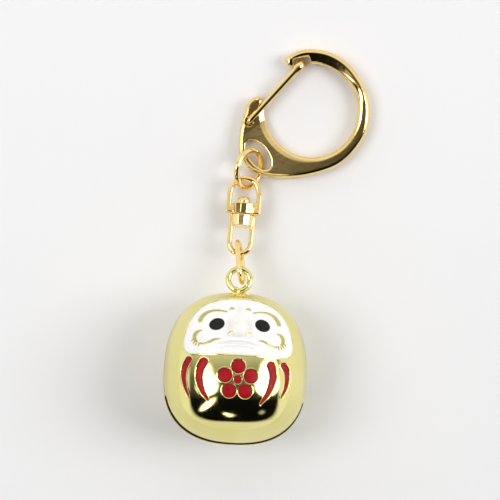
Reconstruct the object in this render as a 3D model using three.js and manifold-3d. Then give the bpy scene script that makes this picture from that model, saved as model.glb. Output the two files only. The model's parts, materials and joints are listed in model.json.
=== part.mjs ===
// A key charm: a hollow gilt bell shaped like a daruma doll, hung on a short chain from a
// clasp with a spring gate. It lies on its back on a table, face up, chain stretched out.
// Millimetres, +X to the figure's left-hand side as seen from above, +Y from the bell towards
// the clasp, +Z up off the table. The origin is the middle of the base of the bounding box.
import * as THREE from 'three';
import { mergeVertices } from 'three/addons/utils/BufferGeometryUtils.js';
import Module from 'manifold-3d';

const wasm = await Module();
wasm.setup();

// Bell: a superellipsoid that stands on +Y (its crown) and looks along +Z in its own frame.
const BELL_HALF_WIDTH = 13.36;
const BELL_HALF_DEPTH = 11.6;
const CROWN_HEIGHT = 15.78;
const BASE_HEIGHT = 12.66;
const PROFILE_POWER = 2.47;
const SECTION_POWER = 2.15;
const WALL = 0.8;
const SEAM_DEPTH = 1.9;
const SEAM_GAP = 0.1;
const SLIT_WIDTH = 1.7;
const SLIT_TOP = -4.4;
const BELL_AT = new THREE.Vector3(-2.84, -23.73, 12.0);
const BELL_TURN = new THREE.Euler(rad(-9), rad(3), rad(-2.6), 'ZXY');

// Enamel: every colour lies in its own recess, just under the metal's surface.
const RECESS_DEPTH = 0.45;
const ENAMEL_TOP = -0.05;
const ENAMEL_FLOOR = -0.38;
const ENAMEL_GAP = 0.07;
const PANEL_BASE = 2.95;
const PANEL_HALF_WIDTH = 10.15;
const PANEL_TOP = 13.8;
const PANEL_CORNER = { across: 1.6, up: 2 };
const EYE = { x: 4.25, y: 8.65, long: 1.45, short: 1.15, tilt: rad(20) };
const STROKES = {
  stripe_left_outer: { through: [[-9.05, 1.9], [-9.85, -1.2], [-8.8, -4.9]], half: 0.52 },
  stripe_left_inner: { through: [[-6.45, 1.75], [-7.05, -1.7], [-5.3, -5.6]], half: 0.72 },
  stripe_right_inner: { through: [[6.1, 1.6], [6.45, -1.6], [4.5, -5.9]], half: 0.72 },
  stripe_right_outer: { through: [[8.45, 1.8], [9.25, -0.9], [8.35, -4.4]], half: 0.52 },
};
const STROKE_TAPER = { share: 0.75, power: 1.6, tip: 0.08 };
const BLOSSOM = { y: -1.75, reach: 2.5, petal: 1.3, eye: 0.72, petals: 5 };

// Loop on the crown, and the ball inside.
const LOOP_AT = 18.4;
const LOOP_RADIUS = 2.05;
const LOOP_WIRE = 0.55;
const SHANK_RADIUS = 0.75;
const SHANK_HOLE = 1.15;
const SHANK_HEAD = { radius: 1.75, low: 14.0, high: 14.6 };
const BALL_RADIUS = 3.0;
const BALL_GAP = 0.35;

// Oval link between the loop and the swivel.
const LINK = {
  at: new THREE.Vector3(-1.83, -2.25, 7.15),
  length: 9.27, width: 5.2, wire: 0.475,
  slope: rad(-32), lean: rad(4), roll: rad(9),
};

// Swivel: its own frame has +Y along its axis towards the bell, 0 in the middle of the arch strap.
const SWIVEL_TOP = new THREE.Vector3(-0.74, 13.5, 2.8);
const SWIVEL_END = new THREE.Vector3(-2.05, -0.66, 5.5);
const SWIVEL_LENGTH = SWIVEL_TOP.distanceTo(SWIVEL_END);
const STIRRUP = { half: 3.3, arch: 2.8, strap: 1.0, depth: 1.3, shoulder: 1.9, foot: 6.9 };
const COLLAR = { radius: 2.05, sides: 12, upper: [5.0, 6.95], lower: [7.2, 9.3] };
const PIN = { radius: 0.6, bore: 0.85, head: 1.2, headLow: 3.5, headHigh: 4.85, end: 8.6, play: 0.06 };
const BOW = { half: 2.0, wire: 0.52, start: 7.45 };

// Jump ring through the stirrup's arch and the clasp's eyelet.
const RING = { at: new THREE.Vector3(-0.23, 15.28, 3.4), radius: 3.6, wire: 0.52 };
const RING_HEADING = rad(73.7);
const RING_TILT = rad(52);

// Clasp: its own frame has its origin in the middle of the round opening, on the table.
const CLASP_AT = new THREE.Vector3(11.75, 26.53, 0);
const CLASP_THICK = 3.2;
const OPENING = { x: -0.2, y: -0.1, radius: 8.85 };
const NOSE_INNER = 10.05;
const NOSE_LIP = 8.95;
const PIVOT = new THREE.Vector2(-12.0, -2.27);
const PIVOT_HOLE = 0.66;
const PIVOT_BOSS = 1.25;
const GATE_TIP = new THREE.Vector2(-1.9, 8.8);
const GATE_WIRE = 0.55;
const GATE_LOW = 0.62;
const ARM_CORE = [1.24, 1.96];
const EYELET = { x: -10.2, y: -8.5, long: 3.35, short: 1.8, tilt: rad(-52.8) };
const TAB = { relief: 1.36, x: -6.2, y: -8.0 };

const metal = (color, roughness) => new THREE.MeshStandardMaterial({ color, roughness, metalness: 1 });
const enamel = (color) => new THREE.MeshStandardMaterial({ color, roughness: 0.2, metalness: 0 });
const BELL_GOLD = metal(0xf3df94, 0.14);
const CHAIN_GOLD = metal(0xe8bd6c, 0.12);
const STEEL = metal(0xb9bcc0, 0.3);
const WHITE = enamel(0xfbfaf5);
const BLACK = enamel(0x141214);
const RED = enamel(0xb50f1c);

function rad(degrees) {
  return degrees * Math.PI / 180;
}

// ---- solids ---------------------------------------------------------------

// A closed three.js geometry as a solid that can be joined and cut.
function solid(geometry) {
  const bare = geometry.clone();
  for (const name of Object.keys(bare.attributes)) {
    if (name !== 'position') bare.deleteAttribute(name);
  }
  const merged = mergeVertices(bare, 1e-5);
  const vertProperties = new Float32Array(merged.attributes.position.array);
  const triVerts = new Uint32Array(merged.index.array);
  return new wasm.Manifold(new wasm.Mesh({ numProp: 3, vertProperties, triVerts }));
}

// A solid as a three.js geometry.
function geometryOf(body) {
  const { vertProperties, triVerts } = body.getMesh();
  const geometry = new THREE.BufferGeometry();
  geometry.setAttribute('position', new THREE.BufferAttribute(new Float32Array(vertProperties), 3));
  geometry.setIndex(new THREE.BufferAttribute(new Uint32Array(triVerts), 1));
  geometry.computeVertexNormals();
  return geometry;
}

function piece(name, body, material) {
  const mesh = new THREE.Mesh(geometryOf(body), material.clone());
  mesh.name = name;
  return mesh;
}

// A flat outline raised from z = low to z = high.
function plate(shape, low, high, curveSegments = 12) {
  const geometry = new THREE.ExtrudeGeometry(shape, { depth: high - low, bevelEnabled: false, curveSegments });
  return solid(geometry.translate(0, 0, low));
}

// A cylinder along Y from y = low to y = high.
function post(radius, low, high, sides = 24) {
  const geometry = new THREE.CylinderGeometry(radius, radius, high - low, sides);
  return solid(geometry.translate(0, (low + high) / 2, 0));
}

function block(low, high) {
  const size = high.clone().sub(low);
  const middle = low.clone().add(high).multiplyScalar(0.5);
  return solid(new THREE.BoxGeometry(size.x, size.y, size.z).translate(middle.x, middle.y, middle.z));
}

// Round wire along a smooth path, closed at both ends.
function wireAlong(path, radius, steps, sides = 10) {
  const section = new THREE.Shape().absarc(0, 0, radius, 0, 2 * Math.PI);
  const settings = { steps, extrudePath: path, curveSegments: sides / 2, bevelEnabled: false };
  return solid(new THREE.ExtrudeGeometry(section, settings));
}

// A half turn of a path, opening towards -Y.
class HalfTurn extends THREE.Curve {
  constructor(radius, y) {
    super();
    this.radius = radius;
    this.y = y;
  }

  getPoint(t, target = new THREE.Vector3()) {
    const angle = Math.PI * t;
    return target.set(-this.radius * Math.cos(angle), this.y + this.radius * Math.sin(angle), 0);
  }
}

function join(...bodies) {
  return bodies.reduce((sum, body) => sum.add(body));
}

// ---- bell -----------------------------------------------------------------

// The point of the bell's surface in one direction, pushed out by lift.
function bellPoint(direction, lift) {
  const across = Math.abs(direction.x / (BELL_HALF_WIDTH + lift)) ** SECTION_POWER;
  const deep = Math.abs(direction.z / (BELL_HALF_DEPTH + lift)) ** SECTION_POWER;
  const height = (direction.y > 0 ? CROWN_HEIGHT : BASE_HEIGHT) + lift;
  const round = (across + deep) ** (PROFILE_POWER / SECTION_POWER);
  const tall = Math.abs(direction.y / height) ** PROFILE_POWER;
  return direction.clone().multiplyScalar((round + tall) ** (-1 / PROFILE_POWER));
}

function bellSolid(lift) {
  const geometry = new THREE.SphereGeometry(1, 36, 22);
  const position = geometry.attributes.position;
  const direction = new THREE.Vector3();
  for (let i = 0; i < position.count; i += 1) {
    direction.fromBufferAttribute(position, i).normalize();
    const point = bellPoint(direction, lift);
    position.setXYZ(i, point.x, point.y, point.z);
  }
  return solid(geometry);
}

const bellInside = bellSolid(-WALL);
const bellWall = bellSolid(0).subtract(bellInside);
const recessLayer = bellSolid(1).subtract(bellSolid(-RECESS_DEPTH));
const enamelLayer = bellSolid(ENAMEL_TOP).subtract(bellSolid(ENAMEL_FLOOR));

// The part of a layer of the bell's front that lies inside a flat outline.
function inlay(layer, shape) {
  return layer.intersect(plate(shape, 0, 2 * BELL_HALF_DEPTH, 8));
}

// The white panel's outline, drawn in by inset.
function panelShape(inset) {
  const half = PANEL_HALF_WIDTH - inset;
  const base = PANEL_BASE + inset;
  const scale = half / PANEL_HALF_WIDTH;
  const side = [[9.75, 7.2], [8.8, 9.7], [6.95, 11.95], [4.0, 13.35]];
  const right = side.map(([x, y]) => new THREE.Vector2(x * scale, y - inset));
  const left = [...right].reverse().map((p) => new THREE.Vector2(-p.x, p.y));
  const shape = new THREE.Shape();
  const { across, up } = PANEL_CORNER;
  const top = new THREE.Vector2(0, PANEL_TOP - inset);
  shape.moveTo(-half + across, base);
  shape.lineTo(half - across, base);
  shape.quadraticCurveTo(half, base, half, base + up);
  shape.splineThru([...right, top, ...left, new THREE.Vector2(-half, base + up)]);
  shape.quadraticCurveTo(-half, base, -half + across, base);
  return shape;
}

// A brush stroke: full at its head, drawn out to a point at its tail.
function strokeShape({ through, half }, inset) {
  const spine = new THREE.SplineCurve(through.map(([x, y]) => new THREE.Vector2(x, y)));
  const steps = 10;
  const trim = inset / spine.getLength();
  const left = [];
  const right = [];
  for (let i = 0; i <= steps; i += 1) {
    const along = trim + (1 - 2 * trim) * i / steps;
    const point = spine.getPoint(along);
    const tangent = spine.getTangent(along);
    const full = half * (1 - STROKE_TAPER.share * along ** STROKE_TAPER.power);
    const width = Math.max(full - inset, STROKE_TAPER.tip);
    left.push(new THREE.Vector2(point.x - tangent.y * width, point.y + tangent.x * width));
    right.unshift(new THREE.Vector2(point.x + tangent.y * width, point.y - tangent.x * width));
  }
  return new THREE.Shape([...left, ...right]);
}

function ovalShape({ x, y, long, short, tilt }, inset) {
  return new THREE.Shape().absellipse(x, y, long - inset, short - inset, 0, 2 * Math.PI, false, tilt);
}

function discShape(x, y, radius) {
  return new THREE.Shape().absarc(x, y, radius, 0, 2 * Math.PI);
}

const eyes = {
  eye_left: { ...EYE, x: -EYE.x },
  eye_right: { ...EYE, tilt: -EYE.tilt },
};

// The red pieces' outlines by name: four strokes, and a plum blossom between them.
function redShapes(inset) {
  const shapes = {};
  for (const [name, stroke] of Object.entries(STROKES)) shapes[name] = strokeShape(stroke, inset);
  for (let i = 0; i < BLOSSOM.petals; i += 1) {
    const angle = Math.PI / 2 + i * 2 * Math.PI / BLOSSOM.petals;
    const x = BLOSSOM.reach * Math.cos(angle);
    const y = BLOSSOM.y + BLOSSOM.reach * Math.sin(angle);
    shapes[`blossom_petal_${i + 1}`] = discShape(x, y, BLOSSOM.petal - inset);
  }
  shapes.blossom_heart = discShape(0, BLOSSOM.y, BLOSSOM.eye - inset);
  return shapes;
}

function bellShells() {
  const far = 40;
  const front = block(new THREE.Vector3(-far, -far, SEAM_DEPTH + SEAM_GAP / 2), new THREE.Vector3(far, far, far));
  const back = block(new THREE.Vector3(-far, -far, -far), new THREE.Vector3(far, far, SEAM_DEPTH - SEAM_GAP / 2));
  const slit = block(
    new THREE.Vector3(-far, -far, SEAM_DEPTH - SLIT_WIDTH / 2),
    new THREE.Vector3(far, SLIT_TOP, SEAM_DEPTH + SLIT_WIDTH / 2),
  );
  const openings = slit.add(post(SHANK_HOLE, 10, 20, 20));
  let face = inlay(recessLayer, panelShape(0));
  for (const shape of Object.values(redShapes(0))) face = face.add(inlay(recessLayer, shape));
  return [
    piece('bell_front_shell', bellWall.intersect(front).subtract(openings).subtract(face), BELL_GOLD),
    piece('bell_back_shell', bellWall.intersect(back).subtract(openings), BELL_GOLD),
  ];
}

function faceEnamel() {
  let white = inlay(enamelLayer, panelShape(ENAMEL_GAP));
  const black = [];
  for (const [name, oval] of Object.entries(eyes)) {
    white = white.subtract(plate(ovalShape(oval, 0), 0, 2 * BELL_HALF_DEPTH));
    black.push(piece(name, inlay(enamelLayer, ovalShape(oval, ENAMEL_GAP)), BLACK));
  }
  return [piece('face_enamel', white, WHITE), ...black];
}

function redEnamel() {
  const shapes = Object.entries(redShapes(ENAMEL_GAP));
  return shapes.map(([name, shape]) => piece(name, inlay(enamelLayer, shape), RED));
}

function bellLoop() {
  const ring = solid(new THREE.TorusGeometry(LOOP_RADIUS, LOOP_WIRE, 10, 26).translate(0, LOOP_AT, 0));
  const shank = post(SHANK_RADIUS, SHANK_HEAD.low, LOOP_AT - LOOP_RADIUS);
  const head = post(SHANK_HEAD.radius, SHANK_HEAD.low, SHANK_HEAD.high);
  return piece('bell_loop', join(ring, shank, head), CHAIN_GOLD);
}

// The ball lies on the inside of the bell's back.
function rattleBall() {
  const depth = BELL_HALF_DEPTH - WALL - BALL_GAP - BALL_RADIUS;
  const ball = solid(new THREE.SphereGeometry(BALL_RADIUS, 20, 14).translate(0, 0, -depth));
  return piece('rattle_ball', ball, STEEL);
}

const bell = new THREE.Group();
bell.add(...bellShells(), ...faceEnamel(), ...redEnamel(), bellLoop(), rattleBall());
bell.position.copy(BELL_AT);
bell.rotation.copy(BELL_TURN);

// ---- chain ----------------------------------------------------------------

// A ring of wire pulled out along Y into an oval.
function lowerLink() {
  const end = LINK.width / 2 - LINK.wire;
  const stretch = (LINK.length - LINK.width) / 2;
  const geometry = new THREE.TorusGeometry(end, LINK.wire, 10, 28);
  const position = geometry.attributes.position;
  for (let i = 0; i < position.count; i += 1) {
    const y = position.getY(i);
    position.setY(i, y + Math.max(-1, Math.min(1, y / 0.2)) * stretch);
  }
  return piece('lower_link', solid(geometry), CHAIN_GOLD);
}

const link = new THREE.Group();
link.add(lowerLink());
link.children[0].rotation.y = Math.PI / 2 - LINK.roll;
link.rotation.set(LINK.slope, 0, LINK.lean, 'ZXY');
link.position.copy(LINK.at);

// The stirrup's outline: an arch on top of two legs, with its foot across them.
function archShape(half, arch, top, foot) {
  const shape = new THREE.Shape();
  shape.moveTo(-half, foot);
  shape.lineTo(half, foot);
  shape.lineTo(half, STIRRUP.shoulder + 1.4);
  shape.quadraticCurveTo(half, STIRRUP.shoulder, arch, STIRRUP.shoulder - 1.2);
  shape.quadraticCurveTo(arch - 0.6, top, 0, top);
  shape.quadraticCurveTo(-arch + 0.6, top, -arch, STIRRUP.shoulder - 1.2);
  shape.quadraticCurveTo(-half, STIRRUP.shoulder, -half, STIRRUP.shoulder + 1.4);
  return shape;
}

// A faceted collar round the swivel's axis, with one facet facing +Z.
function collar(low, high) {
  return post(COLLAR.radius, low, high, COLLAR.sides).rotate([0, 180 / COLLAR.sides, 0]);
}

function swivelStirrup() {
  const { half, arch, strap, depth, foot } = STIRRUP;
  const outside = plate(archShape(half, arch, -strap / 2, foot), -depth / 2, depth / 2, 8);
  const inside = archShape(half - strap, arch - strap, strap / 2, COLLAR.upper[0] + 0.3);
  const frame = outside.subtract(plate(inside, -depth, depth, 8));
  const body = join(frame, collar(...COLLAR.upper));
  return piece('swivel_stirrup', body.subtract(post(PIN.bore, COLLAR.upper[0] - 1, COLLAR.lower[0])), CHAIN_GOLD);
}

function swivelEye() {
  const bottom = SWIVEL_LENGTH - BOW.half;
  const path = new THREE.CurvePath();
  const legs = [-BOW.half, BOW.half].map((x) => new THREE.Vector3(x, BOW.start, 0));
  const turns = [-BOW.half, BOW.half].map((x) => new THREE.Vector3(x, bottom, 0));
  path.add(new THREE.LineCurve3(legs[0], turns[0]));
  path.add(new HalfTurn(BOW.half, bottom));
  path.add(new THREE.LineCurve3(turns[1], legs[1]));
  const bow = wireAlong(path, BOW.wire, 24);
  const socket = post(PIN.radius + PIN.play, COLLAR.upper[1], PIN.end + PIN.play);
  return piece('swivel_eye', join(bow, collar(...COLLAR.lower)).subtract(socket), CHAIN_GOLD);
}

function swivelPin() {
  const shaft = post(PIN.radius, PIN.headHigh - 0.2, PIN.end, 20);
  const profile = [[0, PIN.headLow], [0.75, PIN.headLow + 0.12], [PIN.head, PIN.headLow + 0.6]];
  profile.push([PIN.head, PIN.headHigh], [0, PIN.headHigh]);
  const head = solid(new THREE.LatheGeometry(profile.map((point) => new THREE.Vector2(...point)), 20));
  return piece('swivel_pin', join(head, shaft), CHAIN_GOLD);
}

const swivel = new THREE.Group();
swivel.add(swivelStirrup(), swivelPin(), swivelEye());
swivel.position.copy(SWIVEL_TOP);
{
  const along = SWIVEL_END.clone().sub(SWIVEL_TOP).normalize();
  const across = new THREE.Vector3(0, 0, 1).cross(along).normalize().negate();
  const up = across.clone().cross(along);
  swivel.setRotationFromMatrix(new THREE.Matrix4().makeBasis(across, along, up));
}

const ring = piece(
  'jump_ring',
  solid(new THREE.TorusGeometry(RING.radius, RING.wire, 10, 32)),
  CHAIN_GOLD,
);
ring.position.copy(RING.at);
ring.rotation.set(0, RING_TILT, RING_HEADING - Math.PI / 2, 'ZYX');

// ---- clasp ----------------------------------------------------------------

// The clasp's body: nose, round bar, web with the eyelet tab, and the arm that holds the gate.
function claspShape() {
  const outer = new THREE.SplineCurve([
    [-5.4, 9.5], [-2.3, 11.25], [0.5, 11.5], [3.6, 10.8], [6.4, 9.1], [8.7, 6.5], [10.4, 3.2],
    [10.92, -0.4], [10.4, -4.0], [8.4, -7.4], [5.0, -10.5], [-0.4, -12.4], [-5.5, -12.9],
    [-9.4, -12.5], [-12.2, -11.1], [-13.75, -8.4], [-13.7, -4.2], [-12.95, -1.2], [-12.2, 1.6],
  ].map((point) => new THREE.Vector2(...point)));
  const shape = new THREE.Shape(outer.getSpacedPoints(48));
  shape.quadraticCurveTo(-11.8, 2.7, -10.8, 2.65);
  shape.quadraticCurveTo(-9.2, 2.6, OPENING.x - OPENING.radius, 0.5);
  shape.absarc(OPENING.x, OPENING.y, OPENING.radius, rad(180), rad(452), false);
  shape.absarc(0, 0, NOSE_INNER, rad(94), rad(111), false);
  shape.absarc(0, 0, NOSE_LIP, rad(113), rad(118), false);
  return shape;
}

// The floor that the gate's leg sweeps over, beside the pivot.
function sweepShape() {
  const shape = new THREE.Shape();
  const near = 4.3;
  const far = 8;
  shape.moveTo(PIVOT.x, PIVOT.y);
  shape.lineTo(PIVOT.x + far * Math.cos(rad(-8)), PIVOT.y + far * Math.sin(rad(-8)));
  shape.absarc(PIVOT.x, PIVOT.y, far, rad(-8), rad(57), false);
  shape.absarc(PIVOT.x, PIVOT.y, near, rad(57), rad(84), false);
  return shape;
}

function claspBody() {
  let body = plate(claspShape(), 0, CLASP_THICK, 14);
  for (const [low, high] of [[-1, ARM_CORE[0]], [ARM_CORE[1], CLASP_THICK + 1]]) {
    body = body.subtract(plate(sweepShape(), low, high));
    body = body.subtract(plate(discShape(PIVOT.x, PIVOT.y, PIVOT_BOSS), low, high));
  }
  body = body.subtract(plate(discShape(PIVOT.x, PIVOT.y, PIVOT_HOLE), 0, CLASP_THICK));
  body = body.subtract(plate(ovalShape(EYELET, 0), 0, CLASP_THICK));
  const relief = block(new THREE.Vector3(-16, -16, -1), new THREE.Vector3(TAB.x, TAB.y, TAB.relief));
  return piece('clasp_body', body.subtract(relief), CHAIN_GOLD);
}

// The gate: a hairpin of spring wire, one leg on each face of the arm, feet turned into the pivot.
function gateWire() {
  const high = CLASP_THICK - GATE_LOW;
  const middle = CLASP_THICK / 2;
  const length = GATE_TIP.distanceTo(PIVOT);
  const bend = (high - GATE_LOW) / 2;
  const toe = 0.18;
  const leg = (x, z) => new THREE.Vector3(x, 0, z);
  const corner = 0.5;
  const points = [
    leg(0, middle - toe), leg(0, GATE_LOW + corner), leg(0.15, GATE_LOW + 0.15), leg(corner, GATE_LOW),
    leg(3, GATE_LOW), leg(length * 0.6, GATE_LOW), leg(length - bend, GATE_LOW),
    leg(length - 0.3 * bend, GATE_LOW + 0.3 * bend), leg(length, middle),
    leg(length - 0.3 * bend, high - 0.3 * bend), leg(length - bend, high),
    leg(length * 0.6, high), leg(3, high),
    leg(corner, high), leg(0.15, high - 0.15), leg(0, high - corner), leg(0, middle + toe),
  ];
  const path = new THREE.CatmullRomCurve3(points, false, 'centripetal');
  return piece('gate_wire', wireAlong(path, GATE_WIRE, 48), CHAIN_GOLD);
}

const clasp = new THREE.Group();
const gate = gateWire();
gate.position.set(PIVOT.x, PIVOT.y, 0);
gate.rotation.z = GATE_TIP.clone().sub(PIVOT).angle();
clasp.add(claspBody(), gate);
clasp.position.copy(CLASP_AT);

// ---- the whole charm, centred over its own base --------------------------------------

const charm = new THREE.Group();
charm.add(bell, link, swivel, ring, clasp);
charm.updateMatrixWorld(true);
const extent = new THREE.Box3().setFromObject(charm, true);
const middle = extent.getCenter(new THREE.Vector3());
charm.position.set(-middle.x, -middle.y, -extent.min.z);

export default charm;
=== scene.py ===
import json
import math

import bpy
import numpy as np
from mathutils import Matrix


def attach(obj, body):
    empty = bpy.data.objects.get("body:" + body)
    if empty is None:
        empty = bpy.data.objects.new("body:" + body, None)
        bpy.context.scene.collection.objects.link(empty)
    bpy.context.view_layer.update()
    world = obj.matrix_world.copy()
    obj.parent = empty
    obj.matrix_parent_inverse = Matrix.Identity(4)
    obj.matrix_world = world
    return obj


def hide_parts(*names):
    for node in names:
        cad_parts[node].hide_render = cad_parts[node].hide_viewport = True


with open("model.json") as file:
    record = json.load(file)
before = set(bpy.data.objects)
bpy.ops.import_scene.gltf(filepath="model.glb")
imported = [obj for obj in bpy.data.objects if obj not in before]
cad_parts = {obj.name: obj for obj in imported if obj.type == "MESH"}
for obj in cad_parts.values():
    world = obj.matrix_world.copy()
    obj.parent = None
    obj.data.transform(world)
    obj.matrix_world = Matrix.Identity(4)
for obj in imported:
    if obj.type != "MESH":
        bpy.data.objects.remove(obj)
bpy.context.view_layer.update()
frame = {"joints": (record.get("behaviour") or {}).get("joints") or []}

# A gilt jingle bell shaped like a daruma doll, its swivel chain and its clasp.
# Shapes are worked out in millimetres, each in its part's own frame, and then placed in the
# frame that the CAD nodes are in.

MM = 0.001

# ---- where the parts are, as in the CAD ------------------------------------------------

JOINTS = {joint["name"]: joint for joint in frame["joints"]}
BELL_AT = np.array([-2.84, -23.73, 12.0])
SHIFT = np.array(JOINTS["ball_roll"]["pos_m"]) / MM - BELL_AT


def turn(axis, degrees):
    """Rotation about one axis, as a 3 x 3 array."""
    return np.array(Matrix.Rotation(math.radians(degrees), 3, axis))


def placement(at, rotation=None):
    """From a part's own millimetres to the shared frame's millimetres."""
    place = np.eye(4)
    place[:3, 3] = np.asarray(at, float) + SHIFT
    if rotation is not None:
        place[:3, :3] = rotation
    return place


def unit(v):
    """A vector, or each row of an array, at length 1."""
    v = np.asarray(v, float)
    return v / np.linalg.norm(v, axis=-1, keepdims=True)


BELL = placement(BELL_AT, turn("Z", -2.6) @ turn("X", -9) @ turn("Y", 3))
LINK = placement((-1.83, -2.25, 7.15), turn("Z", 4) @ turn("X", -32) @ turn("Y", 81))

SWIVEL_TOP = np.array([-0.74, 13.5, 2.8])
SWIVEL_END = np.array([-2.05, -0.66, 5.5])
SWIVEL_LENGTH = np.linalg.norm(SWIVEL_END - SWIVEL_TOP)
along = unit(SWIVEL_END - SWIVEL_TOP)
across = -unit(np.cross((0, 0, 1), along))
SWIVEL = placement(SWIVEL_TOP, np.stack([across, along, np.cross(across, along)], axis=1))

RING = placement((-0.23, 15.28, 3.4), turn("Z", 73.7 - 90) @ turn("Y", 52))
CLASP_AT = np.array([11.75, 26.53, 0.0])
CLASP = placement(CLASP_AT)
PIVOT = np.array([-12.0, -2.27])
GATE_TIP = np.array([-1.9, 8.8])
GATE_LENGTH = np.linalg.norm(GATE_TIP - PIVOT)
GATE_HEADING = math.degrees(math.atan2(*(GATE_TIP - PIVOT)[::-1]))
GATE = placement(CLASP_AT + (*PIVOT, 0), turn("Z", GATE_HEADING))

# ---- mesh tools ------------------------------------------------------------------------


def volume(points, faces):
    """Signed volume inside a closed mesh."""
    total = 0.0
    for corners in {len(face) for face in faces}:
        some = points[np.array([face for face in faces if len(face) == corners])]
        for k in range(1, corners - 1):
            total += np.einsum("ij,ij->", some[:, 0], np.cross(some[:, k], some[:, k + 1]))
    return total / 6


def piece(name, parts, place, body, material, replaces=(), paint=None):
    """One visible piece from closed (points, faces) parts, turned to face outwards.
    paint maps attribute names to one value per point."""
    points, faces, offset = [], [], 0
    for some, polygons in parts:
        if volume(some, polygons) < 0:
            polygons = [face[::-1] for face in polygons]
        points.append(some)
        faces += [tuple(i + offset for i in face) for face in polygons]
        offset += len(some)
    points = np.concatenate(points)
    world = (points @ place[:3, :3].T + place[:3, 3]) * MM
    mesh = bpy.data.meshes.new(name)
    mesh.from_pydata(world.tolist(), [], faces)
    mesh.polygons.foreach_set("use_smooth", np.ones(len(mesh.polygons), bool))
    for label, values in (paint or {}).items():
        attribute = mesh.attributes.new(label, "FLOAT", "POINT")
        attribute.data.foreach_set("value", np.asarray(values, np.float32))
    mesh.materials.append(material)
    mesh.update()
    obj = bpy.data.objects.new(name, mesh)
    bpy.context.scene.collection.objects.link(obj)
    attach(obj, body)
    if replaces:
        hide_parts(*replaces)
    return obj


def wall(loop_a, loop_b):
    """Quads between two closed loops of point numbers of the same length."""
    n = len(loop_a)
    return [(loop_a[i], loop_a[(i + 1) % n], loop_b[(i + 1) % n], loop_b[i]) for i in range(n)]


def stacked_faces(count, sides):
    """Faces of a tube of count loops of points, closed by a flat face at each end."""
    loops = [[i * sides + j for j in range(sides)] for i in range(count)]
    faces = [face for a, b in zip(loops, loops[1:]) for face in wall(a, b)]
    return faces + [tuple(loops[0][::-1]), tuple(loops[-1])]


def tube(path, radius, sides, crown):
    """Round wire along an open path, with its ends rounded over the length crown."""
    path = np.asarray(path, float)
    count = len(path)
    tangent = unit(np.gradient(path, axis=0))
    side = unit(np.cross(tangent[0], (0, 0, 1) if abs(tangent[0][2]) < 0.9 else (1, 0, 0)))
    sides_at = [side]
    for i in range(1, count):
        side = unit(side - tangent[i] * np.dot(side, tangent[i]))
        sides_at.append(side)
    sides_at = np.array(sides_at)
    up_at = np.cross(tangent, sides_at)
    rings = [(path[i], sides_at[i], up_at[i], radius) for i in range(count)]
    for end, sign in ((0, -1), (count - 1, 1)):
        extra = []
        for step in range(1, 6):
            a = math.radians(17.5 * step)
            shift = sign * crown * math.sin(a)
            narrower = radius - crown * (1 - math.cos(a))
            extra.append((path[end] + tangent[end] * shift, sides_at[end], up_at[end], narrower))
        rings = extra[::-1] + rings if end == 0 else rings + extra
    angle = np.linspace(0, 2 * np.pi, sides, endpoint=False)
    points = np.concatenate([
        centre + r * (np.cos(angle)[:, None] * u + np.sin(angle)[:, None] * v)
        for centre, u, v, r in rings
    ])
    return points, stacked_faces(len(rings), sides)


def lathe(profile, sides, squash=None):
    """A solid of revolution about +Y from (radius, y) pairs. squash(y, angle) scales the radius."""
    angle = np.linspace(0, 2 * np.pi, sides, endpoint=False)
    points = np.concatenate([
        np.stack([
            r * (squash(y, angle) if squash else 1) * np.cos(angle), 0 * angle + y, r * np.sin(angle),
        ], axis=1)
        for r, y in profile
    ])
    return points, stacked_faces(len(profile), sides)


def smooth_min(a, b, k):
    h = np.maximum(k - np.abs(a - b), 0) / k
    return np.minimum(a, b) - h * h * k / 4


def smooth_max(a, b, k):
    return -smooth_min(-a, -b, k)


def smoothstep(t):
    t = np.clip(t, 0, 1)
    return t * t * (3 - 2 * t)


def slab(flat, z, low, high, rounding):
    """Distance to a flat outline raised from low to high, with rounded edges."""
    u = flat + rounding
    v = np.abs(z - (low + high) / 2) - (high - low) / 2 + rounding
    outside = np.hypot(np.maximum(u, 0), np.maximum(v, 0))
    return np.minimum(np.maximum(u, v), 0) + outside - rounding


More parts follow.
